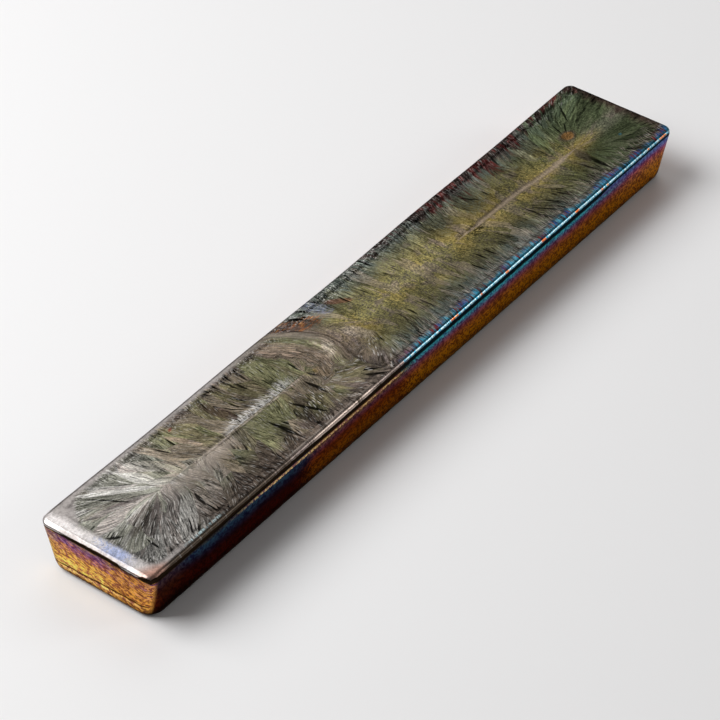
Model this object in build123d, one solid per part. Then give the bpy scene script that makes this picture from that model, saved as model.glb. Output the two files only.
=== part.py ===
from build123d import *
from math import pi, sin
import os

# Open-mould cast bar of tin, in millimetres. +X runs along the bar and +Z is up. The foot
# is centred on the origin. The end at -X took the last of the metal, poured over the rest.
bar_length = 300.0      # over the rim, end to end
bar_width = 47.8        # over the rim, side to side
bar_height = 21.1       # from the foot to the top of the rim

# Draft of the mould, so that the cold bar drops out
side_inset = 2.0        # how far the foot of a long wall stands inside its rim
near_inset = 1.7        # the same at the -X end
far_inset = 2.3         # the same at the +X end

# Rounds in plan and in section
rim_corner = 3.5        # corners of the rim, seen from above
foot_corner = 6.4       # corners of the foot, seen from below
rim_round = 2.0         # meniscus that the liquid metal left along the rim
foot_round = 2.8        # round between the walls and the underside

# Waves of the rim along the +Y side: a waist, and ripples on it
rim_waist = 0.55        # how far the middle bows inwards
rim_ripple = 0.45       # from crest to trough
ripple_length = 97.0    # from one crest to the next
edge_spans = 15         # spans of the spline along that side

# The two pools of the top face, one for each pour, sunk inside a smooth band of rim
near_pool_depth = 0.35
far_pool_depth = 0.5
pool_slope = 1.6        # width of the sloping border of a pool
pool_corner = 6.0
end_band = 6.0          # width of the smooth band along the -X end
side_band = 3.6         # the same along the long sides of the last pour
far_band = 3.4          # the same around the first pour
lap_band = 4.0          # smooth tongue of the last pour, where it laps over the first

# The lap, where the last pour's edge froze: five places along the bar, from the -X rim
lap_left = 112.0        # at the +Y rim
lap_shoulder = 124.5
lap_tip = 127.0         # tip of the tongue, near the middle
lap_dip = 124.0
lap_right = 129.0       # at the -Y rim
lap_shares = [1.0, 0.46, 0.12, -0.48, -1.0]   # where across the half width each one lies

# Shrinkage valleys along the middle of each pool, where the metal froze last
valley_radius = 2.6     # round of its bottom, across the bar
valley_depth = 0.4      # below the floor of its pool, at its middle
near_valley_start = 34.0   # from the -X rim
near_valley_length = 74.0
far_valley_end = 36.0      # from the +X rim
far_valley_length = 78.0

# Cold folds: thin creases where the skin of one pour met metal that had already set
fold_radius = 0.7
fold_depth = 0.3
side_fold_height = 17.6    # above the foot, on the -Y wall
side_fold_start = 36.0     # from the -X rim
side_fold_length = 97.0
end_fold_height = 5.0      # on the wall at the -X end
end_fold_length = 35.0

near_x = -bar_length / 2
far_x = bar_length / 2
half_width = bar_width / 2


def wavy_edge(start, end):
    """Long edge of the rim as a spline that bows towards -Y by a waist and, along its middle,
    by whole ripples. It touches the straight line between its two ends at both of them."""
    run = end - start
    rippled = run.length // ripple_length * ripple_length
    plain = (run.length - rippled) / 2
    points = []
    for step in range(edge_spans + 1):
        share = step / edge_spans
        along = share * run.length - plain
        ripple = sin(pi * along / ripple_length) ** 2 if 0 < along < rippled else 0
        bow = rim_waist * sin(pi * share) ** 2 + rim_ripple * ripple
        points.append(start + run * share - Vector(0, bow))
    return Spline(*points, tangents=[run, run])


def plan(near, far, half, corner, height, long_edge):
    """Outline of the bar seen from above, at one height: straight ends, four corner arcs,
    a straight edge on the -Y side and a given kind of edge on the +Y side."""
    with BuildSketch(Plane.XY.offset(height)) as face:
        with BuildLine():
            long_edge(Vector(near + corner, half), Vector(far - corner, half))
            RadiusArc((far - corner, half), (far, half - corner), corner)
            Line((far, half - corner), (far, corner - half))
            RadiusArc((far, corner - half), (far - corner, -half), corner)
            Line((far - corner, -half), (near + corner, -half))
            RadiusArc((near + corner, -half), (near, corner - half), corner)
            Line((near, corner - half), (near, half - corner))
            RadiusArc((near, half - corner), (near + corner, half), corner)
        make_face()
    return face.sketch


def casting():
    """The bar as the mould gives it, with its rounds, before the top face is shaped."""
    foot = plan(near_x + near_inset, far_x - far_inset, half_width - side_inset, foot_corner, 0, Line)
    rim = plan(near_x, far_x, half_width, rim_corner, bar_height, wavy_edge)
    body = loft([foot.face(), rim.face()], ruled=True)
    body = fillet(body.edges().group_by(Axis.Z)[0], foot_round)
    return fillet(body.edges().group_by(Axis.Z)[-1], rim_round)


def lap_points(shift, half):
    """Points of the lap between the two long edges of a pool, moved along the bar."""
    places = [lap_left, lap_shoulder, lap_tip, lap_dip, lap_right]
    return [(near_x + place + shift, share * half) for place, share in zip(places, lap_shares)]


def near_pool(margin, height):
    """Outline of the last pour's pool, drawn in from its bands by a margin."""
    half = half_width - side_band - margin
    start = near_x + end_band + margin
    lap = lap_points(-lap_band - margin, half)
    with BuildSketch(Plane.XY.offset(height)) as face:
        with BuildLine():
            Polyline(lap[0], (start, half), (start, -half), lap[-1])
            Spline(*lap)
        make_face()
        fillet(face.vertices().group_by(Axis.X)[0], pool_corner)
    return face.sketch


def far_pool(margin, height):
    """Outline of the first pour's pool, from the lap to the far rim."""
    half = half_width - far_band - margin
    end = far_x - far_band - margin
    lap = lap_points(margin, half)
    with BuildSketch(Plane.XY.offset(height)) as face:
        with BuildLine():
            Polyline(lap[0], (end, half), (end, -half), lap[-1])
            Spline(*lap)
        make_face()
        fillet(face.vertices().group_by(Axis.X)[-1], pool_corner)
    return face.sketch


def sunk(pool, depth):
    """Cutter for a pool: its border slopes down to the floor, and its mouth stands clear
    above the rim at the same slope."""
    floor = pool(pool_slope, bar_height - depth)
    mouth = pool(-pool_slope, bar_height + depth)
    return loft([floor.face(), mouth.face()], ruled=True)


def valley(start, length, floor):
    """Spindle that cuts a valley, deepest at its middle and fading out at both ends."""
    axis_height = floor - valley_depth + valley_radius
    end = start + length
    with BuildPart() as spindle:
        with BuildSketch(Plane.XZ):
            with BuildLine():
                ThreePointArc((start, floor), ((start + end) / 2, floor - valley_depth), (end, floor))
                Polyline((end, floor), (end, axis_height), (start, axis_height), (start, floor))
            make_face()
        revolve(axis=Axis((start, 0, axis_height), (1, 0, 0)))
    return spindle.part


def fold(middle, along, length):
    """Round-ended rod that presses a crease into a wall."""
    rod = Cylinder(fold_radius, length - 2 * fold_radius)
    rod += Pos(0, 0, length / 2 - fold_radius) * Sphere(fold_radius)
    rod += Pos(0, 0, fold_radius - length / 2) * Sphere(fold_radius)
    return Plane(origin=middle, z_dir=along) * rod


def side_fold():
    """Crease along the -Y wall, under the rim of the last pour."""
    wall = half_width - side_inset * (1 - side_fold_height / bar_height)
    along = near_x + side_fold_start + side_fold_length / 2
    return fold((along, fold_depth - fold_radius - wall, side_fold_height), (1, 0, 0), side_fold_length)


def end_fold():
    """Crease across the wall at the -X end, low down."""
    wall = near_x + near_inset * (1 - end_fold_height / bar_height)
    return fold((wall + fold_depth - fold_radius, 0, end_fold_height), (0, 1, 0), end_fold_length)


ingot = casting()
ingot -= sunk(near_pool, near_pool_depth)
ingot -= sunk(far_pool, far_pool_depth)

near_start = near_x + near_valley_start
far_start = far_x - far_valley_end - far_valley_length
ingot -= valley(near_start, near_valley_length, bar_height - near_pool_depth)
ingot -= valley(far_start, far_valley_length, bar_height - far_pool_depth)

ingot -= side_fold()
ingot -= end_fold()

os.makedirs("parts", exist_ok=True)
export_step(ingot, "parts/ingot_bar.step")
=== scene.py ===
from math import cos, pi, radians, sin

import bmesh
import bpy
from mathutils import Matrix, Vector


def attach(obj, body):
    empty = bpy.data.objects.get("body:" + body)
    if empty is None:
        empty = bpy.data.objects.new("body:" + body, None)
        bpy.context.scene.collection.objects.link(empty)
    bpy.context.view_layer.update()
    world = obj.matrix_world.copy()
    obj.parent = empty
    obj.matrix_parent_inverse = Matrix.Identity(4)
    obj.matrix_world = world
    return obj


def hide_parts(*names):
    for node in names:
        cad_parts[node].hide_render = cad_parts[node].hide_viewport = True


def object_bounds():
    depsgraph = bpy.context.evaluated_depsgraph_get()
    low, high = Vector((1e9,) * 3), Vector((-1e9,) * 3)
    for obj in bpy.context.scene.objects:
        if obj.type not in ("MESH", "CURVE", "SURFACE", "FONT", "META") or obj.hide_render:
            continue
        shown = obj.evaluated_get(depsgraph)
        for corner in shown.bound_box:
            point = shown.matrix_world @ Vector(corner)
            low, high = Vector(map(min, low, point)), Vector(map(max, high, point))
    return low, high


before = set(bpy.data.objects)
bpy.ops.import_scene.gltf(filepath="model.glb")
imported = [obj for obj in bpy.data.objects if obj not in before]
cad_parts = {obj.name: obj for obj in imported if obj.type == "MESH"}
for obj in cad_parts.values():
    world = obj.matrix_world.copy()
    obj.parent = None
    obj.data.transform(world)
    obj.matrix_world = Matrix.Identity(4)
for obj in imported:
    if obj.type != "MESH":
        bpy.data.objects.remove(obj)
cadLow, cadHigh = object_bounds()
mm = 0.001
print("frame loaded")


# Camera at the photo's angle

view = {
    "azimuth": -52.7,
    "elevation": 40.73,
    "distance": 1.0703,
    "lens": 153.6,                       # on a 36 mm sensor
    "clip": 0.05,
    "aim": (-6.6 * mm, 3.42 * mm, 0.0),
}


def makeCamera():
    turn = radians(view["azimuth"])
    rise = radians(view["elevation"])
    back = Vector((sin(turn) * cos(rise), -cos(turn) * cos(rise), sin(rise)))
    lens = bpy.data.cameras.new("camera")
    lens.lens = view["lens"]
    lens.clip_start = view["clip"]
    camera = bpy.data.objects.new("camera", lens)
    camera.location = Vector(view["aim"]) + back * view["distance"]
    camera.rotation_euler = (pi / 2 - rise, 0, turn)
    bpy.context.scene.collection.objects.link(camera)
    bpy.context.scene.camera = camera


makeCamera()
print("camera placed")


# Nodes: a wire is a value on its way through a tree, and arithmetic on wires adds Math nodes

class Wire:
    def __init__(self, tree, socket):
        self.tree = tree
        self.socket = socket

    def math(self, operation, *others):
        inputs = dict(enumerate((self, *others)))
        return node(self.tree, "ShaderNodeMath", inputs, operation=operation)

    def __add__(self, other):
        return self.math("ADD", other)

    def __sub__(self, other):
        return self.math("SUBTRACT", other)

    def __mul__(self, other):
        return self.math("MULTIPLY", other)

    def __truediv__(self, other):
        return self.math("DIVIDE", other)

    def __neg__(self):
        return self * -1

    def __radd__(self, other):
        return self + other

    def __rsub__(self, other):
        return -self + other

    def __rmul__(self, other):
        return self * other

    def __abs__(self):
        return self.math("ABSOLUTE")


# Wires by name
class Bundle:
    def __init__(self, **wires):
        for name, wire in wires.items():
            setattr(self, name, wire)


def feed(tree, socket, value):
    if isinstance(value, Wire):
        tree.links.new(value.socket, socket)
    else:
        socket.default_value = value


def node(tree, kind, inputs, out=0, **settings):
    made = tree.nodes.new(kind)
    for name, value in settings.items():
        setattr(made, name, value)
    for name, value in inputs.items():
        feed(tree, made.inputs[name], value)
    return Wire(tree, made.outputs[out])


# Smooth step from 0 at low to 1 at high; low may be the larger one
def fade(value, low, high):
    inputs = {"Value": value, "From Min": low, "From Max": high}
    return node(value.tree, "ShaderNodeMapRange", inputs, interpolation_type="SMOOTHSTEP")


def least(first, *others):
    for other in others:
        first = first.math("MINIMUM", other)
    return first


def softLeast(first, second, blend):
    return first.math("SMOOTH_MIN", second, blend)


def most(first, *others):
    for other in others:
        first = first.math("MAXIMUM", other)
    return first


def power(value, exponent):
    return value.math("POWER", exponent)


def between(low, high, share):
    return share * (high - low) + low


def split(place):
    made = place.tree.nodes.new("ShaderNodeSeparateXYZ")
    feed(place.tree, made.inputs[0], place)
    return [Wire(place.tree, socket) for socket in made.outputs]


def combine(tree, x, y, z):
    return node(tree, "ShaderNodeCombineXYZ", {0: x, 1: y, 2: z})


def scaled(vector, factor):
    inputs = {0: vector, "Scale": factor}
    return node(vector.tree, "ShaderNodeVectorMath", inputs, operation="SCALE")


def noise(place, scale, detail=2, roughness=0.5, warp=0):
    inputs = {"Vector": place, "Scale": scale, "Detail": detail, "Roughness": roughness}
    inputs["Distortion"] = warp
    return node(place.tree, "ShaderNodeTexNoise", inputs)


# Noise that changes only along the bar
def alongNoise(x, scale, start, detail, roughness=0.5):
    return noise(combine(x.tree, x * scale, 0, start), 1, detail, roughness)


# Flat cell pattern: the distance to the cell's middle, and three random values of the cell
def cells(x, y):
    tree = x.tree
    made = tree.nodes.new("ShaderNodeTexVoronoi")
    made.voronoi_dimensions = "2D"
    feed(tree, made.inputs["Vector"], combine(tree, x, y, 0))
    made.inputs["Scale"].default_value = 1
    return Wire(tree, made.outputs[0]), split(Wire(tree, made.outputs[1]))


# Short straight strokes, one in each cell of the given size, in a share of the cells
def strokes(x, y, size, share, start):
    gap, chance = cells(x / size[0] + start, y / size[1] + start)
    return fade(gap, 0.32, 0.14) * fade(chance[0], 1 - share, 1.06 - share)


# Curve through given points, from value to level
def curve(value, points):
    places = [point[0] for point in points]
    levels = [point[1] for point in points]
    left, right = min(places), max(places)
    low, high = min(levels), max(levels)
    made = value.tree.nodes.new("ShaderNodeFloatCurve")
    line = made.mapping.curves[0].points
    while len(line) < len(points):
        line.new(0.5, 0.5)
    for spot, (place, level) in zip(line, sorted(points)):
        spot.location = ((place - left) / (right - left), (level - low) / (high - low))
    made.mapping.update()
    feed(value.tree, made.inputs["Value"], (value - left) / (right - left))
    return Wire(value.tree, made.outputs[0]) * (high - low) + low


# The bar's shape in millimetres, as in the part's source

form = {
    "length": 300,
    "width": 47.8,
    "height": 21.1,
    "nearInset": 1.7,
    "farInset": 2.3,
    "sideInset": 2.0,
    "rimCorner": 3.5,
    "footCorner": 6.4,
    "cornerParts": 8,
    "rimRound": 2.0,
    "rimParts": 6,
    "footRound": 2.8,
    "footParts": 4,
    "wallParts": 26,
    "stretches": 10,                     # along the bar, each cut in stretchParts
    "stretchParts": 55,
    "acrossParts": 86,
    "waist": 0.55,
    "ripple": 0.45,
    "ripples": 3,
}
halfLength = form["length"] / 2
halfWidth = form["width"] / 2
height = form["height"]

top = {
    "nearDepth": 0.35,
    "farDepth": 0.5,
    "slope": 1.6,
    "endBand": 6.0,
    "sideBand": 3.6,
    "farBand": 3.4,
    "lapBand": 4.0,
    "cornerBlend": 7,                    # rounds the near pool's corners
    "lap": [(23.9, -38), (11, -25.5), (2.9, -23), (-11.5, -26), (-23.9, -21)],   # across, along
    "spine": [
        (-150, 1.4), (-117, 1.4), (-80, 0.6), (-42, -0.2),
        (40, 0.9), (78, 0.3), (113, -1.8), (150, -1.8),
    ],
    "nearSpine": (-117, -42),
    "farSpine": (-8, 116),
}

# How the crystals grew: out from the spines to the rim, leaning, and fanned about a middle
growth = {
    "span": 22,                          # from a spine to the rim
    "nearFan": 0.2,
    "farFan": 0.05,
    "nearMiddle": (-62, -42),            # right and left of the spine
    "farMiddle": 60,
    "farLean": (0.17, 0.09),             # right and left of the spine
    "wander": 9,
    "endTurn": 14,                       # how far a fan's angle at a spine's end counts as run
}

# Sizes of the crystals, across their growth and along it
crystalSize = {
    "plate": (6, 15),
    "wedge": (2.2, 10),
    "slit": (1.7, 13),
    "needle": (0.8, 6),
    "glint": (0.7, 4),
}


# Everything that the relief and the finishes need to know about a place on the bar
def pourFields(place):
    x, y, z = split(place)
    wobble = noise(place, 0.16, 2) - 0.5
    lapPlace = curve(y, top["lap"])
    pastLap = x - lapPlace + wobble * 1.6
    near = fade(pastLap, 0.3, -0.3)

    left = halfWidth - y
    right = y + halfWidth
    front = x + halfLength
    back = halfLength - x
    below = height - z
    edge = least(left, right, front, back) - below       # 0 at the middle of the rim round

    sides = least(left, right)
    nearEdge = softLeast(sides - top["sideBand"], front - top["endBand"], top["cornerBlend"])
    nearEdge = least(nearEdge, -pastLap - top["lapBand"])
    farEdge = least(sides - top["farBand"], back - top["farBand"], pastLap)

    # Crystals run from the rim to a spine in each pool, and fan out around its ends
    across = y - curve(x, top["spine"])
    leftSide = fade(across, -0.01, 0.01)
    away = abs(across)
    fan = between(growth["farFan"], growth["nearFan"], near) * away / growth["span"]
    middle = between(growth["farMiddle"], between(*growth["nearMiddle"], leftSide), near)
    lean = between(between(*growth["farLean"], leftSide), 0, near)
    along = (x - lean * away + middle * fan) / (fan + 1)
    along = along + (noise(place, 0.04, 1) - 0.5) * growth["wander"] * fade(away, 0.5, 9)
    start = between(top["farSpine"][0], top["nearSpine"][0], near)
    end = between(top["farSpine"][1], top["nearSpine"][1], near)
    held = least(most(along, start), end)
    past = along - held
    turn = held + past.math("ARCTAN2", away + 0.01) * growth["endTurn"]
    reach = (past * past + away * away).math("SQRT")

    # Beside the lap they follow it, but not by the -Y rim
    ruffled = pastLap + wobble * 9
    arcs = fade(ruffled, -17, -14) * fade(ruffled, 9, 6) * fade(y + wobble * 14, -10, -6)
    return Bundle(
        x=x, y=y, z=z, wobble=wobble, pastLap=pastLap, near=near, left=left, right=right,
        front=front, back=back, below=below, edge=edge, nearEdge=nearEdge, farEdge=farEdge,
        across=across, away=away, leftSide=leftSide, turn=turn, reach=reach,
        seed=leftSide * 7.3 + near * 3.1, arcs=arcs,
    )


# Gouges in the top face: start, end and half width
gouges = [
    ((-42.0, -0.3), (-40.6, -5.0), 0.6), ((-45.7, -1.9), (-45.3, -13.6), 0.8),
    ((-58.0, -4.3), (-52.3, -19.3), 0.8), ((-69.1, -4.8), (-67.4, -20.8), 1.0),
    ((-60.9, 15.5), (-60.2, 8.9), 0.6), ((-134.5, 19.0), (-123.4, 1.6), 0.4),
    ((-144.0, 0.7), (-139.3, -3.4), 0.9), ((-109.8, -7.9), (-112.4, -15.3), 1.0),
    ((-135.5, -9.5), (-136.7, -16.3), 0.6), ((76.3, -3.0), (77.8, -19.7), 0.45),
    ((75.7, 11.5), (75.4, 5.0), 0.5), ((66.8, 15.0), (71.6, 7.3), 0.45),
    ((38.6, -10.3), (40.2, -17.6), 0.45), ((116.5, -3.0), (115.6, -21.0), 0.9),
    ((109.6, -4.5), (111.8, -16.0), 0.6), ((129.0, 9.0), (136.0, 19.0), 0.5),
]


# Mask of all the gouges, each one tapered to its ends
def gougeMask(x, y, wobble):
    mask = 0
    for start, end, half in gouges:
        run = Vector(end) - Vector(start)
        east, north = run.normalized()
        away = (x - start[0]) * north - (y - start[1]) * east
        share = ((x - start[0]) * east + (y - start[1]) * north) / run.length * 2 - 1
        shape = fade(abs(away + wobble * 1.6) / half + share * share, 1.1, 0.6)
        mask = most(shape, mask)
    return mask


# Crystals: plates with a tone, a kind and a lean of their own, wedges in them, fibres and slits
def crystals(fields):
    x, y, seed, arcs = fields.x, fields.y, fields.seed, fields.arcs
    plate, wide = crystalSize["plate"], crystalSize["wedge"]
    turn = between(fields.turn, fields.pastLap * 1.3, arcs)
    reach = between(fields.reach, y + 40, arcs)
    tone, kind, lean = cells(turn / plate[0] + seed * 5, reach / plate[1] + turn * 0.03)[1]
    run = turn + (lean - 0.5) * between(0.4, between(1.0, 0.2, arcs), fields.near) * reach
    wedge, wedgeKind, strength = cells(run / wide[0] + seed * 3, reach / wide[1])[1]
    plain = fade(x, -98, -116) * fade(y, -12, 2)         # few slits at the near end's left
    slit = strokes(run, reach, crystalSize["slit"], 0.24, seed + 11)
    slit = slit * (1 - arcs) * (1 - plain * 0.9)
    slit = most(slit, gougeMask(x, y, fields.wobble))
    broad = noise(combine(turn.tree, run * 0.8, reach * 0.09, seed), 1, 2, 0.5)
    return Bundle(
        run=run, reach=reach, tone=tone, kind=kind, wedge=wedge, wedgeKind=wedgeKind,
        strength=strength, broad=broad, slit=slit, plain=plain,
    )


# Mesh of the bar: two rounded outlines bridged to walls, filled, rounded and cut up

def roundedPlane(name, low, high, level, corner):
    bpy.ops.object.select_all(action="DESELECT")
    middle = ((low[0] + high[0]) / 2 * mm, (low[1] + high[1]) / 2 * mm, level * mm)
    bpy.ops.mesh.primitive_plane_add(size=1, location=middle)
    plane = bpy.context.object
    plane.name = name
    plane.scale = ((high[0] - low[0]) * mm, (high[1] - low[1]) * mm, 1)
    bpy.ops.object.transform_apply(location=True, rotation=True, scale=True)
    bpy.ops.object.mode_set(mode="EDIT")
    bpy.ops.mesh.select_all(action="SELECT")
    bpy.ops.mesh.bevel(offset=corner * mm, segments=form["cornerParts"], affect="VERTICES")
    bpy.ops.object.mode_set(mode="OBJECT")
    return plane


def pickEdges(piece, wanted):
    bpy.ops.mesh.select_mode(type="EDGE")
    bpy.ops.mesh.select_all(action="DESELECT")
    mesh = bmesh.from_edit_mesh(piece.data)
    for line in mesh.edges:
        ends = [corner.co / mm for corner in line.verts]
        if wanted(line, ends[0], ends[1]):
            line.select = True
    mesh.select_flush_mode()
    bmesh.update_edit_mesh(piece.data)


def joinOutlines():
    footLow = (form["nearInset"] - halfLength, form["sideInset"] - halfWidth)
    footHigh = (halfLength - form["farInset"], halfWidth - form["sideInset"])
    rimLow, rimHigh = (-halfLength, -halfWidth), (halfLength, halfWidth)
    foot = roundedPlane("foot", footLow, footHigh, 0, form["footCorner"])
    rim = roundedPlane("rim", rimLow, rimHigh, height, form["rimCorner"])
    foot.select_set(True)
    bpy.context.view_layer.objects.active = rim
    bpy.ops.object.join()
    bar = bpy.context.object
    bar.name = "ingotBar"
    bar.data.name = "ingotBar"
    bpy.ops.object.mode_set(mode="EDIT")
    bpy.ops.mesh.select_mode(type="EDGE")
    bpy.ops.mesh.select_all(action="SELECT")
    bpy.ops.mesh.delete(type="ONLY_FACE")
    bpy.ops.mesh.select_all(action="SELECT")
    bpy.ops.mesh.bridge_edge_loops()
    return bar


# The flat underside is opened while the rest is cut up, and then filled in one face
def cutUp(bar):
    mesh = bmesh.from_edit_mesh(bar.data)
    bpy.ops.mesh.select_mode(type="FACE")
    bpy.ops.mesh.select_all(action="DESELECT")
    for face in mesh.faces:
        face.select = all(corner.co.z < 0.01 * mm for corner in face.verts)
    bmesh.update_edit_mesh(bar.data)
    bpy.ops.mesh.delete(type="ONLY_FACE")
    pickEdges(bar, lambda line, a, b: abs(a.z - b.z) > 10)
    bpy.ops.mesh.subdivide(number_cuts=form["wallParts"] - 1)
    pickEdges(bar, lambda line, a, b: abs(a.x - b.x) > 100)
    bpy.ops.mesh.subdivide(number_cuts=form["stretches"] - 1)
    pickEdges(bar, lambda line, a, b: abs(a.x - b.x) > 20)
    bpy.ops.mesh.subdivide(number_cuts=form["stretchParts"] - 1)
    pickEdges(bar, lambda line, a, b: abs(a.y - b.y) > 20)
    bpy.ops.mesh.subdivide(number_cuts=form["acrossParts"] - 1)
    pickEdges(bar, lambda line, a, b: line.is_boundary and a.z < 0.01)
    bpy.ops.mesh.edge_face_add()


def makeBar():
    bar = joinOutlines()
    rounds = [
        (0, form["footRound"], form["footParts"]),
        (height, form["rimRound"], form["rimParts"]),
    ]
    for level, radius, parts in rounds:
        pickEdges(bar, lambda line, a, b: abs(a.z - level) < 0.01 and abs(b.z - level) < 0.01)
        bpy.ops.mesh.edge_face_add()
        bpy.ops.mesh.bevel(offset=radius * mm, segments=parts, profile=0.5, affect="EDGES")
    cutUp(bar)
    bpy.ops.mesh.select_all(action="SELECT")
    bpy.ops.mesh.normals_make_consistent(inside=False)
    bpy.ops.object.mode_set(mode="OBJECT")
    return bar


ingotBar = makeBar()
print("bar meshed:", len(ingotBar.data.polygons), "faces")


# Single marks on the top face: place along and across, half sizes, turn in degrees, and finish

marks = {
    "peachStreak": dict(at=(-93, 10), half=(9, 1.3), turn=112, tint="tan", share=0.7),
    "tanFan": dict(at=(-130, -3), half=(9, 2.6), turn=20, tint="umber", share=0.6),
    "brownWedge": dict(at=(-75, 10), half=(10, 2.4), turn=98, tint="plum", share=0.7),
    "rustSpot": dict(at=(-91.6, 17.4), half=(1.6, 0.8), turn=20, tint="cherry", share=0.6),
    "goldPatch": dict(at=(-38, -5), half=(4, 2.4), turn=100, tint="gold", share=0.6),
    "paleBlotch": dict(at=(-27, 1.5), half=(5, 2.2), turn=60),
    "orangePatch": dict(at=(-24.5, 17.5), half=(11.5, 3.6), turn=150),
    "bluePatch": dict(at=(-13, 18), half=(6.5, 3), turn=115),
    "crimsonStreak": dict(at=(-5.2, 13.8), half=(6, 1.4), turn=138, tint="cherry", share=0.35),
    "tanPatch": dict(at=(-14, -1.8), half=(6, 3), turn=115, tint="smear", share=0.45),
    "pits": dict(at=(55.8, -0.9), half=(4.5, 2.4), turn=10),
    "darkWedge": dict(at=(115.5, -6), half=(5, 2.4), turn=80),
    "ovalHalo": dict(at=(121.9, 4.7), half=(4.4, 3.4), turn=0),
    "brownOval": dict(at=(121.9, 4.7), half=(2.9, 2.3), turn=0, tint="ochre", share=0.65),
    "brightDot": dict(at=(134.6, -9.9), half=(0.8, 0.6), turn=0, tint="cyan", share=0.3),
}


# Soft oval mask of a mark, frayed by a noise
def mark(fields, name):
    shape = marks[name]
    east = fields.x - shape["at"][0]
    north = fields.y - shape["at"][1]
    turn = radians(shape["turn"])
    along = (east * cos(turn) + north * sin(turn)) / shape["half"][0]
    side = (north * cos(turn) - east * sin(turn)) / shape["half"][1]
    return fade(along * along + side * side + fields.wobble * 1.5, 1.2, 0.4)


# Relief of the cast surface, in millimetres

relief = {
    "fibre": 0.08,
    "grainStep": 0.08,
    "slitDepth": 0.13,
    "frontDroop": 0.4,
    "pitDepth": 0.3,
    "valleyDepth": 0.4,
    "valleyRound": 2.6,
    "nearValley": (-116, -42),
    "farValley": (36, 114),
    "foldDepth": 0.3,
    "foldRound": 0.7,
    "sideFold": (17.6, -114, -17),       # height, start and end along the bar
    "endFold": (5.0, -17.5, 17.5),       # height, start and end across it
    "wallWaves": 0.09,
    "rimWaves": 0.12,
    "flowWaves": 0.16,
}


# Depth of a valley that is deepest at its middle and fades out at both ends
def valleyDepth(fields, ends):
    middle = (ends[0] + ends[1]) / 2
    share = (fields.x - middle) / ((ends[1] - ends[0]) / 2)
    away = fields.away
    depth = (1 - share * share) * relief["valleyDepth"] - away * away / (2 * relief["valleyRound"])
    return most(depth, 0)


# Depth of a crease that runs along a wall between two places
def foldDepth(level, run, fold):
    offset = level - fold[0]
    depth = relief["foldDepth"] - offset * offset / (2 * relief["foldRound"])
    return most(depth, 0) * fade(run, fold[1], fold[1] + 3) * fade(run, fold[2], fold[2] - 3)


# Slow bend of the crease on the end wall
def wave(run):
    return (run * 0.09).math("SINE") * 0.6


# How far a place on the top face sinks
def topDepth(fields, crystal, place):
    nearPool = fade(fields.nearEdge, 0, top["slope"])
    farPool = fade(fields.farEdge, 0, top["slope"])
    farRough = fade(fields.pastLap, 0, 1) * fade(fields.edge, 0.2, 2)
    rough = most(fade(fields.nearEdge, -0.6, 1), farPool, farRough)
    depth = nearPool * top["nearDepth"] + farPool * top["farDepth"]
    depth = depth + valleyDepth(fields, relief["nearValley"]) * nearPool
    depth = depth + valleyDepth(fields, relief["farValley"]) * farPool
    fibres = (0.75 - crystal.broad) * relief["fibre"]
    grain = (crystal.tone + crystal.wedge * 0.6) * relief["grainStep"]
    depth = depth + rough * (fibres + grain + crystal.slit * relief["slitDepth"])
    depth = depth + fade(fields.front, 6.5, 0) * relief["frontDroop"]
    depth = depth + mark(fields, "pits") * noise(place, 0.9, 1) * relief["pitDepth"]
    return most(depth, 0) * fade(fields.below, 1.2, 0.4)


# How far the +Y rim bows inwards: a waist, and ripples on it
def rimBow(fields):
    corner = form["rimCorner"]
    share = (fields.x + halfLength - corner) / (form["length"] - 2 * corner)
    waist = (share * pi).math("SINE")
    ripple = (share * (pi * form["ripples"])).math("SINE")
    bow = waist * waist * form["waist"] + ripple * ripple * form["ripple"]
    return bow * (fields.z / height) * fade(fields.y, 8, 21)


# How far a wall or the rim is pressed in: unevenness, flow waves and the two creases
def wallDepth(fields, place):
    x, y, z = fields.x, fields.y, fields.z
    onWall = fade(z, 0.5, 3) * fade(z, height, height - 2.5)
    onRim = fade(abs(z - height + 0.7), 1.4, 0.2)
    depth = noise(place, 0.12, 3, 0.55) * relief["wallWaves"] * onWall
    depth = depth + noise(scaled(place, 0.3), 1, 2, 0.6) * relief["rimWaves"] * onRim
    flow = noise(combine(x.tree, 0, y * 0.16 + z * 0.1, z * 0.75 - y * 0.22), 1, 3, 0.6)
    depth = depth + flow * relief["flowWaves"] * onWall * fade(x, -147.6, -148.2)
    depth = depth + foldDepth(z, x, relief["sideFold"]) * fade(y, -20, -21.5)
    return depth + foldDepth(z + wave(y), y, relief["endFold"]) * fade(x, -147, -148)


def vectorMath(operation, first, second):
    inputs = {0: first, 1: second}
    return node(first.tree, "ShaderNodeVectorMath", inputs, operation=operation)


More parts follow.
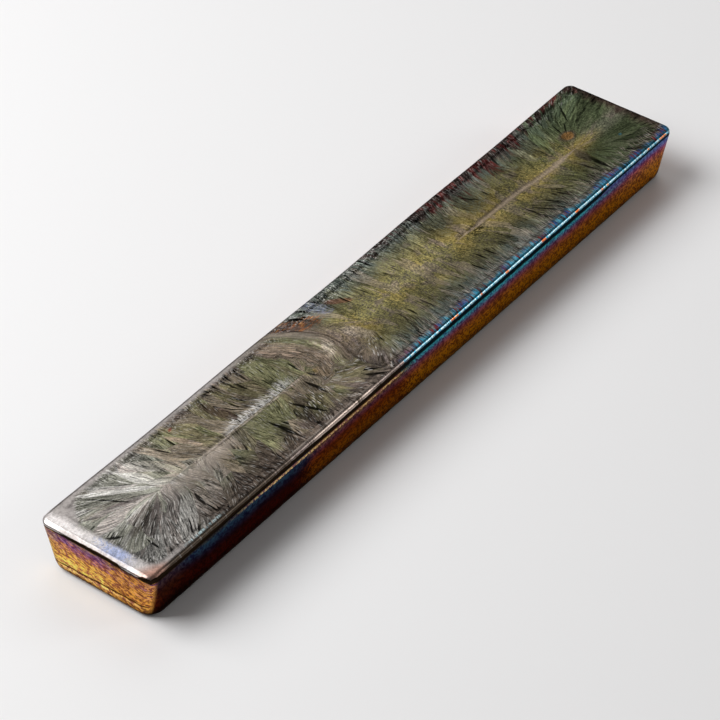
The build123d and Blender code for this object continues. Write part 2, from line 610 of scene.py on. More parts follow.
# Moves every point by the relief, and keeps it inside the CAD box
def reliefTree():
    tree = bpy.data.node_groups.new("castRelief", "GeometryNodeTree")
    tree.interface.new_socket("Geometry", in_out="INPUT", socket_type="NodeSocketGeometry")
    tree.interface.new_socket("Geometry", in_out="OUTPUT", socket_type="NodeSocketGeometry")
    position = node(tree, "GeometryNodeInputPosition", {})
    normal = node(tree, "GeometryNodeInputNormal", {})
    place = scaled(position, 1 / mm)
    fields = pourFields(place)
    sink = -topDepth(fields, crystals(fields), place)
    slide = -rimBow(fields)
    inward = scaled(normal, -wallDepth(fields, place))
    shift = vectorMath("ADD", inward, combine(tree, 0, slide, sink))
    moved = vectorMath("ADD", position, scaled(shift, mm))
    moved = vectorMath("MAXIMUM", moved, tuple(cadLow))
    moved = vectorMath("MINIMUM", moved, tuple(cadHigh))

    given = tree.nodes.new("NodeGroupInput")
    setPlace = tree.nodes.new("GeometryNodeSetPosition")
    result = tree.nodes.new("NodeGroupOutput")
    tree.links.new(given.outputs[0], setPlace.inputs["Geometry"])
    feed(tree, setPlace.inputs["Position"], moved)
    tree.links.new(setPlace.outputs[0], result.inputs[0])
    return tree


def carve(bar):
    bpy.ops.object.select_all(action="DESELECT")
    bar.select_set(True)
    bpy.context.view_layer.objects.active = bar
    modifier = bar.modifiers.new("castRelief", "NODES")
    modifier.node_group = reliefTree()
    bpy.ops.object.modifier_apply(modifier=modifier.name)
    bpy.ops.object.shade_smooth()


carve(ingotBar)
print("relief carved")


# Finishes

# Shader colour of the three 8 bit levels of a display colour
def tint(levels):
    shares = [level / 255 for level in levels]
    linear = [s / 12.92 if s < 0.04045 else ((s + 0.055) / 1.055) ** 2.4 for s in shares]
    return (*linear, 1.0)


tints = {
    # poured top
    "silver": (172, 170, 165), "pale": (226, 224, 220), "olive": (126, 119, 92),
    "moss": (122, 117, 78), "mossGold": (150, 134, 80), "greyGreen": (104, 106, 88),
    "deepGreen": (74, 87, 56), "lapGreen": (108, 112, 82), "lapBrown": (124, 110, 98),
    "slate": (108, 100, 100), "teal": (92, 104, 104), "dusk": (106, 110, 134),
    "mauve": (128, 114, 108), "umber": (84, 74, 66), "plum": (66, 48, 46), "tan": (168, 148, 130),
    "haze": (160, 150, 140), "smear": (176, 164, 154), "smearTan": (164, 148, 130),
    "gold": (160, 134, 80), "goldBright": (206, 166, 104), "ochre": (150, 108, 58),
    "rust": (158, 96, 54), "cherry": (132, 40, 40),
    # rim
    "bandGrey": (164, 158, 155), "bandHighlight": (234, 228, 226), "taupe": (122, 114, 104),
    "lilac": (172, 184, 220), "salmon": (188, 148, 132), "crownEnd": (112, 107, 105),
    "lip": (184, 176, 172), "darkRim": (88, 78, 68), "litRim": (150, 136, 130),
    "rimShine": (200, 182, 170), "ice": (200, 224, 228), "cyan": (64, 164, 196),
    "deepTeal": (26, 46, 54), "deepBlue": (22, 68, 150), "magenta": (150, 40, 90),
    "copper": (222, 104, 40),
    # walls
    "violet": (112, 66, 128), "cream": (226, 184, 142), "wallBrown": (84, 42, 26),
    "shadeBrown": (34, 24, 15), "shadeTeal": (10, 24, 29),
}


# One colour over another in a share; a colour is a wire, a tuple or the name of a tint
def paint(under, over, share):
    under, over = (tint(tints[hue]) if isinstance(hue, str) else hue for hue in (under, over))
    inputs = {0: share, 6: under, 7: over}
    return node(share.tree, "ShaderNodeMix", inputs, out=2, data_type="RGBA")


def multiplied(colour, factor):
    inputs = {0: 1.0, 6: colour, 7: factor}
    settings = {"data_type": "RGBA", "blend_type": "MULTIPLY"}
    return node(factor.tree, "ShaderNodeMix", inputs, out=2, **settings)


def ramp(value, stops):
    made = value.tree.nodes.new("ShaderNodeValToRGB")
    elements = made.color_ramp.elements
    while len(elements) < len(stops):
        elements.new(0.5)
    for element, (place, *levels) in zip(elements, stops):
        element.position = place
        element.color = tint(levels)
    feed(value.tree, made.inputs[0], value)
    return Wire(value.tree, made.outputs[0])


def newMaterial(name):
    material = bpy.data.materials.new(name)
    material.use_nodes = True
    tree = material.node_tree
    shader = tree.nodes["Principled BSDF"]
    shader.inputs["Metallic"].default_value = 1.0
    shader.inputs["Specular Tint"].default_value = (0.5, 0.5, 0.5, 1.0)
    place = scaled(node(tree, "ShaderNodeTexCoord", {}, out="Object"), 1 / mm)
    return material, tree, shader, place


def bump(tree, shader, level, strength, distance):
    inputs = {"Height": level, "Strength": strength, "Distance": distance * mm}
    feed(tree, shader.inputs["Normal"], node(tree, "ShaderNodeBump", inputs))


# Shader node group with named sockets; lay puts its nodes down and returns a wire for each output
def shaderGroup(name, inputs, outputs, lay):
    tree = bpy.data.node_groups.new(name, "ShaderNodeTree")
    for label, kind in inputs.items():
        tree.interface.new_socket(label, in_out="INPUT", socket_type=kind)
    for label, kind in outputs.items():
        tree.interface.new_socket(label, in_out="OUTPUT", socket_type=kind)
    given = tree.nodes.new("NodeGroupInput")
    result = tree.nodes.new("NodeGroupOutput")
    laid = lay({label: Wire(tree, given.outputs[label]) for label in inputs})
    for label, wire in laid.items():
        feed(tree, result.inputs[label], wire)
    return tree


def placed(tree, group, values):
    made = tree.nodes.new("ShaderNodeGroup")
    made.node_tree = group
    for label, value in values.items():
        feed(tree, made.inputs[label], value)
    return {socket.name: Wire(tree, socket) for socket in made.outputs}


# Factors on a colour, in the darkest and the lightest grains
grainFactors = {"dark": (0.5, 0.34, 0.55, 1.0), "light": (1.65, 1.85, 1.3, 1.0)}


# Cast grain: a factor on a colour, yellower in light grains and redder in dark ones, and a height
def layGrain(given):
    grain = noise(given["Place"], given["Scale"], 2, 0.6)
    specks = noise(given["Place"], given["Scale"] * 2.2, 1, 0.5)
    level = grain * 0.6 + specks * 0.4
    share = (level - 0.5) * given["Contrast"] + 0.5
    factor = paint(grainFactors["dark"], grainFactors["light"], most(share, 0))
    return {"Factor": factor, "Height": level}


castGrain = shaderGroup(
    "castGrain",
    {"Place": "NodeSocketVector", "Scale": "NodeSocketFloat", "Contrast": "NodeSocketFloat"},
    {"Factor": "NodeSocketColor", "Height": "NodeSocketFloat"},
    layGrain,
)

# Dark line under the crown, a painted dark reflection, by the edge field, and how far its top goes
# down across the end wall
darkReflectionShape = {
    "upper": -0.7,
    "lower": -2.7,
    "slimLower": -1.8,                   # on the end wall and by the far corner
    "lip": [
        (-23, -1.0), (-20, -0.9), (-17, 0.7), (-14, 0.7), (-11, 0.3), (-8, -0.6),
        (4, -0.6), (8, -0.3), (12, 0.0), (16, 0.6), (23, 0.7),
    ],
}


# Mask and tint of the dark line, a painted dark reflection, and the mask of the pale lip above it
# on the end wall, a painted highlight
def layDarkReflection(given):
    place = given["Place"]
    x, y, z = split(place)
    edge = least(halfWidth - y, y + halfWidth, x + halfLength, halfLength - x) - (height - z)
    edge = edge + (noise(place, 0.45, 2) - 0.5) * 0.7
    onEnd = fade(x, -146, -148)
    byCrown = fade(abs(x + 50), 22, 12) * fade(y, -20, -21.5)
    dip = curve(y, darkReflectionShape["lip"]) * onEnd + byCrown * 0.3
    dip = dip - fade(x, -136, -146) * (1 - onEnd) * 0.4
    slim = most(onEnd * 0.8, fade(x, 98, 112))
    lower = between(darkReflectionShape["lower"], darkReflectionShape["slimLower"], slim)
    above = fade(edge + dip, given["Upper"] - 0.3, given["Upper"])
    line = (1 - above) * fade(edge, lower - 0.2, lower + 0.1)
    hue = paint("shadeBrown", "shadeTeal", fade(x, -24, -10))
    return {"Line": line, "Tint": hue, "Lip": above * onEnd}


darkReflectionLine = shaderGroup(
    "darkReflectionLine",
    {"Place": "NodeSocketVector", "Upper": "NodeSocketFloat"},
    {"Line": "NodeSocketFloat", "Tint": "NodeSocketColor", "Lip": "NodeSocketFloat"},
    layDarkReflection,
)


# Fine patterns of the top face that are too small for the mesh
def fineCrystals(fields, crystal, place):
    tree = place.tree
    run, reach, seed = crystal.run, crystal.reach, fields.seed
    return Bundle(
        fibre=noise(combine(tree, run * 1.7, reach * 0.16, seed + 5), 1, 3, 0.75),
        hair=noise(combine(tree, run * 3.6, reach * 0.6, seed), 1, 2, 0.7),
        needle=strokes(run, reach, crystalSize["needle"], 0.3, seed + 3),
        glint=strokes(run, reach, crystalSize["glint"], 0.5, seed + 29),
        moss=noise(place, 1.4, 3, 0.75, 0.3),
        patch=noise(place, 0.07, 2, 0.5),
    )


# Hue with marks painted over it, each with its own tint and share
def marked(hue, fields, names):
    for name in names:
        hue = paint(hue, marks[name]["tint"], mark(fields, name) * marks[name]["share"])
    return hue


# Hue of the last pour: silver at its near end and olive further on, with painted shade towards -Y
def nearHues(fields, crystal, fine):
    x, left, right = fields.x, fields.left, fields.right
    tone, kind, wedge = crystal.tone, crystal.kind, crystal.wedge
    wedgeKind = crystal.wedgeKind - 0.5
    hue = paint("olive", "silver", fade(x + (tone - 0.5) * 30, -88, -112))
    hue = paint(hue, "mauve", fade(kind + wedgeKind * 0.4, 0.68, 0.72) * 0.5)
    green = paint("greyGreen", "lapGreen", fade(x, -110, -90))
    hue = paint(hue, green, fade(kind + wedgeKind * 0.3, 0.38, 0.34) * 0.6)
    hue = paint(hue, "plum", fade(wedge, 0.84, 0.88) * fade(abs(x + 84), 20, 34) * 0.4)
    margin = fade(least(right, left * 1.6) + (wedge - 0.5) * 6, 11, 4)
    hue = paint(hue, "mauve", margin * fade(x, -120, -90) * 0.8)
    # Umber towards -Y: painted shade
    shade = fade(right + (tone - 0.5) * 8, 15, 6) * fade(x, -132, -112) * fade(x, -46, -66)
    hue = paint(hue, "umber", shade * 0.85)
    hue = marked(hue, fields, ["peachStreak", "tanFan", "brownWedge", "rustSpot", "goldPatch"])

    # Bands along the lap: green inside it, brown on it
    inner = fade(abs(fields.pastLap + 4.5 + (fine.moss - 0.5) * 6), 3.4, 1.4)
    inner = inner * fade(fine.patch + fine.moss, 0.85, 1.1) * 0.8
    arcHue = paint("lapBrown", "lapGreen", inner)
    arcHue = paint(arcHue, "tan", fade(crystal.broad, 0.52, 0.62) * 0.4)
    blotch = mark(fields, "paleBlotch") * fade(fine.hair, 0.42, 0.5) * 0.5
    return paint(hue, paint(arcHue, "smear", blotch), fields.arcs * 0.8)


# Hue of the first pour: mossy gold along its middle, grey-green beside it, plum by the +Y rim
def farHues(fields, crystal, fine):
    x, y, away = fields.x, fields.y, fields.away
    broad, wedge, moss, patch = crystal.broad, crystal.wedge, fine.moss, fine.patch
    mossHue = paint("moss", "mossGold", fade(patch + (moss - 0.5) * 0.6, 0.4, 0.62))
    mossHue = paint(mossHue, "slate", fade(moss + (patch - 0.5) * 0.6, 0.42, 0.32) * 0.6)
    blots = noise(combine(x.tree, x * 0.16, y * 0.16, 21), 1, 2, 0.6)
    mossHue = paint(mossHue, "mauve", fade(blots, 0.56, 0.66) * 0.5)
    mossShare = fade(away + (moss - 0.5) * 26 + (patch - 0.5) * 26, 16, 6)
    hue = paint("greyGreen", mossHue, mossShare * fade(x + away, 138, 120))
    hue = paint(hue, "mauve", fade(wedge, 0.7, 0.78) * 0.4)
    hue = paint(hue, "teal", fade(away + (broad - 0.5) * 20, 14, 20) * 0.6)
    farEnd = fade(x + (crystal.tone - 0.5) * 24, 84, 130)
    hue = paint(hue, "deepGreen", farEnd * 0.7 * fade(away, 1, 5))
    byLap = fade(fields.pastLap + (moss - 0.5) * 8 + fade(y, -4, 8) * 4, 15, 5)
    hue = paint(hue, paint("lapBrown", "mauve", fade(broad, 0.45, 0.55)), byLap * 0.8)

    # Threads of heat tint by the +Y end of the lap
    threads = noise(combine(x.tree, x * 0.25 + y * 0.2, y * 1.5, 7), 1, 2, 0.7)
    orange = mark(fields, "orangePatch")
    hue = paint(hue, "plum", orange * 0.6)
    hue = paint(hue, "rust", orange * fade(threads, 0.48, 0.6) * 0.75)
    hue = paint(hue, "goldBright", orange * fade(threads, 0.6, 0.68) * 0.6)
    hue = paint(hue, "dusk", mark(fields, "bluePatch") * fade(threads, 0.4, 0.55) * 0.6)

    hue = marked(hue, fields, ["crimsonStreak", "tanPatch"])
    hue = paint(hue, "umber", most(mark(fields, "ovalHalo"), mark(fields, "darkWedge")) * 0.7)
    hue = marked(hue, fields, ["brownOval", "brightDot"])
    hue = paint(hue, "plum", fade(fields.back + (broad - 0.5) * 6, 6.5, 2) * 0.85)
    inner = between(4, 11, fade(x, 45, 70) * fade(x, 124, 98))
    margin = fields.left + (broad - 0.5) * 16 + (wedge - 0.5) * 6
    margin = fade(margin, inner, inner * 0.35)
    hue = paint(hue, "plum", margin * fade(x, 2, 18) * 0.9)
    red = margin * fade(crystal.wedgeKind, 0.62, 0.7) * fade(x, 30, 60)
    return paint(hue, "cherry", red * 0.4)


# Painted light and shade along the bar, on the two sides of the spines
paintedLightAlong = {
    "left": [
        (-150, 1.3), (-125, 1.22), (-100, 0.86), (-85, 0.72), (-45, 0.77),
        (0, 1.05), (40, 1.0), (75, 0.55), (112, 0.85), (150, 0.8),
    ],
    "right": [
        (-150, 0.8), (-125, 0.55), (-85, 0.78), (-45, 0.68),
        (0, 0.65), (40, 0.67), (75, 0.72), (115, 0.6), (150, 0.55),
    ],
}


# Light and dark of the crystals: a factor on their hue, with painted light and shade in it, and
# the share of pale glint, a painted highlight, over it
def crystalLight(fields, crystal, fine):
    x, across, away, near = fields.x, fields.across, fields.away, fields.near
    left, right, moss, hair = fields.left, fields.right, fine.moss, fine.hair
    calm = between(fade(away, 3, 12), 1, near)           # the middle of the first pour is mossy
    plates = (crystal.tone - 0.5) * 0.35 + (crystal.wedge - 0.5) * 0.35
    streaks = (fine.fibre - 0.5) * 1.5 + (hair - 0.5) * 1.1
    margin = fade(least(left, right) + (crystal.broad - 0.5) * 8, 9, 4)
    vivid = crystal.strength * calm * (1 - crystal.plain * 0.6)
    vivid = vivid + margin * between(0.6, 0.4, near)
    light = plates * between(0.3, 1, calm) + streaks * between(0.7, 1.6, vivid)
    light = light + (moss - 0.5) * between(1.9, 1.0, calm) + 1
    light = light * (1 - mark(fields, "pits") * fade(moss, 0.55, 0.45) * 0.5)
    # Darker in the slits, gouges and needles; in the slits and gouges this is painted shade
    light = light * (1 - crystal.slit * 0.66 * calm) * (1 - fine.needle * 0.5 * calm)
    # Painted light and shade along the bar, and lighter by the spines
    side = fade(across, -5, 5)
    shade = between(curve(x, paintedLightAlong["right"]), curve(x, paintedLightAlong["left"]), side)
    shade = shade * between(between(1.16, 1.3, near), 1, fade(away, 1, 5))

    # Pale glint, painted highlight: flecks on the +Y side of the near spine, strokes at the near
    # end, margins and lap, sparkles by the +Y rim
    frostGlint = fade(across + (fine.fibre - 0.5) * 14, 4.5, 1.5) * fade(across, 0, 0.6)
    frostGlint = frostGlint * fade(abs(x + 65 + (fine.patch - 0.5) * 30), 20, 6) * fade(hair, 0.42, 0.54)
    byLap = fade(abs(x + 34), 30, 16) * fade(right, 23, 13) * 0.5
    where = most(fade(x, -100, -135) * 0.6, margin * 0.25, near * 0.2, byLap)
    glint = most(fine.glint * fade(hair, 0.36, 0.5) * where, frostGlint)
    sparkle = fade(moss + (hair - 0.5) * 0.6, 0.57, 0.66) * margin * fields.leftSide
    glint = most(glint, sparkle * between(0.15, 0.75, fade(x, 50, 20)))
    return power(most(light, 0.06), 2.2) * shade, glint


# Smooth band of the last pour's rim: along its left side, and wide at its near end, with a painted
# highlight by the near end and painted shade towards -Y
def rimBand(fields, fine):
    x, y, front, right, moss = fields.x, fields.y, fields.front, fields.right, fine.moss
    frayed = fields.nearEdge + (fine.fibre - 0.5) * 3 + (moss - 0.5) * 3
    frayed = frayed - fade(front, 16, 8) * fade(fields.left, 14, 6) * 4
    band = fade(frayed, 0.7, -1.2) * fields.near
    byLap = fade(fields.pastLap, -8, -5)
    band = band * between(1, fade(y, 3, 12) * 0.7, byLap)
    band = band * most(fade(right, 5, 7), fade(x, -128, -136))
    hue = paint("bandGrey", "taupe", most(byLap, fade(x, -66, -46) * 0.6))
    # Bright band by the near end: painted highlight
    hue = paint(hue, "bandHighlight", fade(front + (moss - 0.5) * 6, 6.6, 3.2))
    # Darker towards -Y: painted shade
    hue = scaled(hue, between(0.78, 1.05, fade(y, -14, 12)))
    blue = fade(front, 9, 4) * fade(abs(y + 5), 11, 4)
    hue = paint(hue, "lilac", blue * fade(fine.patch + moss, 0.85, 1.05) * 0.9)
    hue = paint(hue, "dusk", blue * fade(moss, 0.56, 0.64) * 0.7)
    hue = paint(hue, "salmon", fade(front + right * 1.4, 15, 7))
    dull = fade(front, 2.6, 1.2) * between(0.75, 1, fade(abs(y - 1), 17, 12))
    return band, paint(hue, "crownEnd", dull)


# Patterns that the film and the crown of the -Y rim share
def rimPatterns(fields):
    x, y = fields.x, fields.y
    return Bundle(
        farSide=fade(x, -21, -13),
        stripes=noise(combine(x.tree, x * 2.2 - y * 0.4, y * 0.16, 3), 1, 3, 0.7),
        strength=noise(combine(x.tree, x * 0.7, 4, 0), 1, 2),
    )


# Teeth of film tints on the first pour, beside its -Y rim, in a fringe of light and dark hairs
def filmTeeth(colour, fields, crystal, rim):
    x, y, right = fields.x, fields.y, fields.right
    stripes, farSide = rim.stripes, rim.farSide
    clusters = alongNoise(x, 0.13, 9, 1)
    reachOut = alongNoise(x, 0.3, 17, 2)
    thick = fade(alongNoise(x, 0.07, 31, 1), 0.4, 0.6)
    film = right + (stripes - 0.5) * 5 + (reachOut - 0.5) * 9
    film = fade(film, between(3.4, 6, thick), 1.4) * farSide
    hairs = noise(combine(x.tree, x * 3.2 - y * 0.7, y * 0.12, 5), 1, 2, 0.6)
    fringe = fade(right + (crystal.broad - 0.5) * 12, 11, 5) * farSide
    fringe = fringe * fade(fields.edge, 1.2, 2.4)
    colour = paint(colour, "smear", fringe * fade(hairs, 0.54, 0.62) * 0.75)
    colour = paint(colour, "plum", fringe * fade(hairs, 0.46, 0.38) * 0.7)
    colour = paint(colour, "deepTeal", film * fade(stripes, 0.52, 0.44) * 0.85)
    hue = paint("cyan", "deepBlue", fade(clusters + (stripes - 0.5) * 0.4, 0.5, 0.6))
    hue = paint(hue, "deepBlue", fade(x, 96, 120) * 0.7)
    hue = paint(hue, "magenta", fade(abs(x + 14), 6, 2) * 0.8)
    colour = paint(colour, hue, film * fade(stripes, 0.45, 0.55) * between(0.7, 1, thick))
    red = film * fade(stripes, 0.46, 0.4) * fade(clusters, 0.44, 0.54)
    colour = paint(colour, "cherry", red * 0.9)
    return paint(colour, "ice", film * fade(stripes, 0.6, 0.68) * 0.8)


# Crown of the -Y rim: dull with pale stretches on the last pour, and a bright line on the first;
# the pale stretches, shine, glint, glow and bright line are painted highlights
def rimCrown(colour, fields, rim):
    x, y, edge = fields.x, fields.y, fields.edge
    stripes, strength, farSide = rim.stripes, rim.strength, rim.farSide
    onRim = fade(y, -18, -20) * fade(x, -144, -139)
    crown = fade(edge, 1.5, 0.9) * onRim
    dots = alongNoise(x, 0.13, 0, 2, 0.6)
    # Lit stretches of the crown on the last pour, with wide pale blotches: painted highlights
    lit = fade(x + (strength - 0.5) * 60, -90, -76)
    lit = lit * fade(dots + (stripes - 0.5) * 0.5, 0.36, 0.56)
    wide = fade(edge, 2.4, 1.6) * fade(edge, 0.6, 1.1) * onRim * lit * (1 - farSide)
    colour = paint(colour, "smear", wide * fade(x, -30, -44) * 0.8)
    dull = paint("darkRim", "litRim", lit)
    colour = paint(colour, dull, crown * (1 - farSide) * fade(strength, 0.3, 0.5))
    # Pale shine on the crown: painted highlight
    shine = fade(abs(x + 50 + (stripes - 0.5) * 16), 20, 12) * fade(abs(edge + 0.2), 1.3, 0.6)
    shine = shine * onRim * fade(dots + (stripes - 0.5) * 0.6, 0.3, 0.46)
    colour = paint(colour, "rimShine", shine)
    # Icy glint by the near end: painted highlight
    icyGlint = fade(abs(x + 122), 12, 5) * fade(abs(edge - 1.9), 0.8, 0.3) * fade(stripes, 0.46, 0.6)
    colour = paint(colour, "ice", icyGlint * fade(y, -18, -20) * 0.7)
    # Cyan glow and bright line along the first pour's crown: painted highlights
    glow = fade(edge, 2.1, 0.9) * onRim * farSide * fade(stripes, 0.42, 0.56)
    colour = paint(colour, "cyan", glow * 0.8)
    highlightLine = fade(abs(edge + 0.1 + (strength - 0.5) * 0.5), 0.65, 0.3) * onRim * farSide
    hue = paint("cyan", "ice", fade(strength + (stripes - 0.5), 0.36, 0.58))
    warm = paint("copper", "cream", fade(stripes, 0.42, 0.58))
    hue = paint(hue, warm, fade(dots + (stripes - 0.5) * 0.1, 0.56, 0.59))
    return paint(colour, hue, highlightLine), crown


# Pale smears along the spines: wide at the near end, then a thin line, and tan on the first pour
def smears(hue, fields, fine):
    x, across, near = fields.x, fields.across, fields.near
    soft = (fine.moss - 0.5) * 5 + (fine.patch - 0.5) * 4
    wide = fade(abs(across + 3) + soft * 1.4, 6, 0)
    wide = wide * fade(x, -122, -108) * fade(x, -68, -90) * near
    hue = paint(hue, "haze", wide * 0.8)
    line = fade(abs(across + 0.4) + soft * 0.3, 0.7, 0.1) * fade(x, -104, -84) * fade(x, -42, -50)
    line = line * near * fade(fine.patch + fine.hair - 0.5, 0.3, 0.5)
    width = fade(x, 44, 68) * fade(x, 120, 104)
    farLine = fade(abs(across) / (width + 0.05) + soft * 0.3, 1.8, 0.4)
    farLine = farLine * (1 - near) * fade(width, 0, 0.1)
    hue = paint(hue, "smear", line * 0.8)
    return paint(hue, "smearTan", farLine * 0.8), most(wide, line, farLine)


def pouredTop():
    material, tree, shader, place = newMaterial("pouredTop")
    fields = pourFields(place)
    crystal = crystals(fields)
    fine = fineCrystals(fields, crystal, place)
    hue = paint(farHues(fields, crystal, fine), nearHues(fields, crystal, fine), fields.near)
    hue, smooth = smears(hue, fields, fine)
    light, glint = crystalLight(fields, crystal, fine)
    light = between(light, 1, smooth * 0.45)
    # Pale glint over the crystals: painted highlight
    colour = paint(scaled(hue, light), "pale", glint)

    grain = placed(tree, castGrain, {"Place": place, "Scale": 0.7, "Contrast": 0.5})
    band, bandHue = rimBand(fields, fine)
    grainLight = (grain["Height"] - 0.5) * 1.6 + (fine.fibre - 0.5) * 0.6 + 1
    colour = paint(colour, scaled(bandHue, grainLight), band)
    rim = rimPatterns(fields)
    colour = filmTeeth(colour, fields, crystal, rim)
    colour, crown = rimCrown(colour, fields, rim)
    # Dark line under the crown: painted dark reflection
    darkReflection = placed(tree, darkReflectionLine, {"Place": place, "Upper": darkReflectionShape["upper"]})
    feed(tree, shader.inputs["Base Color"], paint(colour, darkReflection["Tint"], darkReflection["Line"]))
    smoothness = most(band, crown)
    roughness = between(0.44, 0.32, smoothness) + (fine.hair - 0.5) * 0.2
    feed(tree, shader.inputs["Roughness"], roughness)
    grainHeight = fine.fibre * 0.5 + fine.hair * 0.4 + grain["Height"] * 0.4
    bump(tree, shader, grainHeight * (1 - smoothness * 0.8), 0.5, 0.25)
    return material


# Film colours of the walls by stretch along the bar: share of the height, and display levels; the
# last stretch is darkened by painted shade, the far one partly lightened by painted light, and
# their dark tops lead into the painted dark reflection under the crown
films = {
    "last": [
        (0.00, 24, 10, 4), (0.13, 44, 14, 6), (0.28, 80, 18, 8), (0.42, 66, 16, 10),
        (0.54, 44, 22, 42), (0.64, 42, 50, 82), (0.76, 46, 70, 104), (0.82, 60, 60, 70),
        (0.88, 40, 30, 20),
    ],
    "middle": [
        (0.00, 26, 10, 3), (0.12, 84, 40, 8), (0.19, 136, 76, 12), (0.30, 156, 90, 12),
        (0.42, 142, 72, 12), (0.56, 128, 56, 28), (0.65, 110, 54, 76), (0.70, 120, 76, 94),
        (0.75, 122, 84, 66), (0.80, 104, 74, 52), (0.835, 54, 32, 16), (0.87, 30, 16, 8),
    ],
    "first": [
        (0.00, 40, 20, 6), (0.12, 116, 72, 16), (0.20, 162, 100, 12), (0.32, 182, 116, 14),
        (0.46, 178, 108, 34), (0.56, 160, 88, 54), (0.64, 148, 74, 90), (0.72, 114, 86, 132),
        (0.77, 80, 136, 184), (0.83, 70, 176, 208), (0.865, 24, 64, 74),
    ],
    "far": [
        (0.00, 50, 28, 10), (0.12, 130, 80, 26), (0.22, 188, 118, 28), (0.46, 190, 120, 50),
        (0.60, 190, 116, 84), (0.70, 178, 92, 108), (0.77, 140, 84, 144), (0.82, 104, 104, 178),
        (0.88, 96, 120, 188),
    ],
    "end": [
        (0.00, 120, 80, 40), (0.10, 236, 176, 110), (0.20, 246, 184, 108), (0.30, 238, 180, 96),
        (0.42, 230, 168, 86), (0.50, 208, 146, 92), (0.60, 174, 106, 104), (0.68, 136, 84, 128),
        (0.76, 126, 96, 152), (0.84, 150, 112, 130), (0.90, 130, 96, 70),
    ],
    "endRight": [
        (0.00, 90, 56, 26), (0.10, 186, 130, 70), (0.20, 200, 138, 70), (0.34, 200, 138, 72),
        (0.55, 196, 138, 78), (0.75, 192, 130, 70), (0.84, 160, 110, 74), (0.89, 96, 66, 48),
    ],
}


# Film of the long walls and the far end, with a painted cream highlight under the crease on the -Y
# wall
def sideFilm(x, y, z, level, speckle):
    frayed = x + speckle * 30
    # The last pour's stretch is darker: painted shade over its film
    hue = paint(ramp(level, films["last"]), ramp(level, films["middle"]), fade(frayed, -74, -62))
    hue = paint(hue, ramp(level, films["first"]), fade(frayed, -20, -6))
    hue = paint(hue, ramp(level, films["far"]), fade(frayed + fade(z, 15.5, 18) * 20, 108, 128))
    hue = paint(hue, "wallBrown", fade(x, -128, -142) * fade(z, 4, 10) * 0.6)
    # Cream line under the crease: painted highlight
    offset = abs(z - 16.6 - fade(x, -60, -104) * 0.6 + speckle * 1.5)
    crease = fade(offset, 0.6, 0.2) * fade(x, -112, -84) * fade(x, -12, -24)
    return paint(hue, "cream", crease * fade(y, -20, -21.5) * 0.8)


# Film of the end wall, in streaks of flow, with painted shade in its crease and a painted cream
# highlight under it
def endFilm(x, y, z, level):
    tree = x.tree
    flow = noise(combine(tree, x * 0.2, y * 0.16 + z * 0.1, z * 0.9 - y * 0.3), 1, 4, 0.7) - 0.5
    threads = combine(tree, x * 0.2, y * 0.2 + z * 0.1, z * 2.2 - y * 0.75)
    threads = noise(threads, 1, 3, 0.7) - 0.5
    level = level + (flow * 1.1 + threads * 0.6) * fade(z, 3, 9)
    side = fade(y + flow * 30, -8, -3)
    hue = paint(ramp(level, films["endRight"]), ramp(level, films["end"]), side)
    hue = paint(hue, "violet", fade(threads, 0.05, 0.12) * fade(z, 7, 13) * fade(y, 19, 15) * 0.8)
    hue = paint(hue, "cherry", fade(threads, -0.06, -0.12) * fade(z, 6, 12) * 0.5)
    hue = scaled(hue, threads * 2.2 + 1.02)
    hue = paint(hue, "goldBright", fade(y, 14, 18) * fade(threads, -0.05, 0.05) * 0.6)
    offset = z + wave(y) - relief["endFold"][0] + flow * 0.7
    # Cream under the crease is a painted highlight; the dark in the crease is painted shade
    hue = paint(hue, "cream", fade(abs(offset + 0.9), 0.5, 0.1) * fade(abs(y), 19, 16) * 0.6)
    return paint(hue, "shadeBrown", fade(abs(offset), 0.5, 0.2) * fade(abs(y), 21, 19) * 0.9)


def mouldWall():
    material, tree, shader, place = newMaterial("mouldWall")
    x, y, z = split(place)
    onEnd = fade(x, -146, -147.5)
    flowY = between(y, y * 0.4 + z * 0.3, onEnd)         # on the end the grain follows the flow
    flowZ = between(z, z * 1.2 - y * 0.4, onEnd)
    contrast = between(8, 11, fade(y, -20, -21.5))
    values = {"Place": combine(tree, x, flowY, flowZ), "Scale": 0.85, "Contrast": contrast}
    grain = placed(tree, castGrain, values)
    speckle = grain["Height"] - 0.5
    drift = (noise(place, 0.08, 2) - 0.5) * 1.6 + speckle * 3
    drift = drift - fade(x, -118, -138) * 2
    level = (z + drift * fade(z, 19.4, 16)) / height
    colour = paint(sideFilm(x, y, z, level, speckle), endFilm(x, y, z, level), onEnd)
    colour = multiplied(colour, grain["Factor"])
    # Dark line under the crown: painted dark reflection
    darkReflection = placed(tree, darkReflectionLine, {"Place": place, "Upper": darkReflectionShape["upper"]})
    # Pale lip over the dark line on the end wall: painted highlight
    colour = paint(colour, "lip", darkReflection["Lip"])
    feed(tree, shader.inputs["Base Color"], paint(colour, darkReflection["Tint"], darkReflection["Line"]))
    feed(tree, shader.inputs["Roughness"], 0.4 + speckle * 0.3)
    bump(tree, shader, grain["Height"], 0.5, 0.2)
    return material


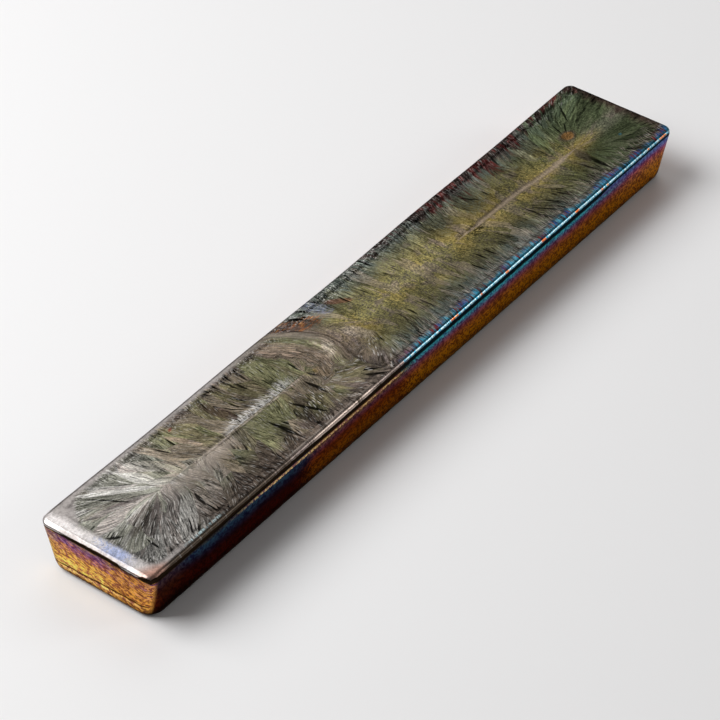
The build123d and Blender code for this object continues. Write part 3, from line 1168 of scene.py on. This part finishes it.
# The poured top goes down to the foot of the rim round
def finishBar(bar):
    bar.data.materials.clear()
    bar.data.materials.append(pouredTop())
    bar.data.materials.append(mouldWall())
    roundFoot = -1.1
    for face in bar.data.polygons:
        spot = face.center / mm
        inside = min(halfLength - abs(spot.x), halfWidth - abs(spot.y))
        face.material_index = 0 if inside - (height - spot.z) > roundFoot else 1


finishBar(ingotBar)
print("finishes made")


# Floor and studio light

studio = {
    "floorSize": 6.0,
    "floorTint": (0.84, 0.84, 0.845, 1.0),
    "floorRoughness": 0.9,
    "fill": 0.145,
    "fillTint": (1.0, 0.95, 0.92, 1.0),
    "lamps": {
        "key": {"place": (-0.51, 0.75, 0.94), "size": 0.95, "power": 19},
        "rimLight": {"place": (0.78, -0.84, 0.58), "size": 0.4, "power": 1.8},
        "backLight": {"place": (0.95, 0.72, 1.03), "size": 1.1, "power": 4.5},
    },
}


def makeLamp(name, lamp):
    light = bpy.data.lights.new(name, "AREA")
    light.shape = "SQUARE"
    light.size = lamp["size"]
    light.energy = lamp["power"]
    holder = bpy.data.objects.new(name, light)
    holder.location = lamp["place"]
    holder.rotation_euler = (-Vector(lamp["place"])).to_track_quat("-Z", "Y").to_euler()
    bpy.context.scene.collection.objects.link(holder)


def makeFloor():
    bpy.ops.object.select_all(action="DESELECT")
    bpy.ops.mesh.primitive_plane_add(size=studio["floorSize"], location=(0, 0, 0))
    plane = bpy.context.object
    plane.name = "floor"
    material = bpy.data.materials.new("paleFloor")
    material.use_nodes = True
    shader = material.node_tree.nodes["Principled BSDF"]
    shader.inputs["Base Color"].default_value = studio["floorTint"]
    shader.inputs["Roughness"].default_value = studio["floorRoughness"]
    plane.data.materials.append(material)
    return plane


def makeWorld():
    world = bpy.data.worlds.new("studio")
    world.use_nodes = True
    background = world.node_tree.nodes["Background"]
    background.inputs["Color"].default_value = studio["fillTint"]
    background.inputs["Strength"].default_value = studio["fill"]
    bpy.context.scene.world = world
    bpy.context.scene.view_settings.view_transform = "Standard"


floor = makeFloor()
makeWorld()
for lampName, lampValues in studio["lamps"].items():
    makeLamp(lampName, lampValues)
print("studio lit")

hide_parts("ingot_bar")
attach(ingotBar, "root")
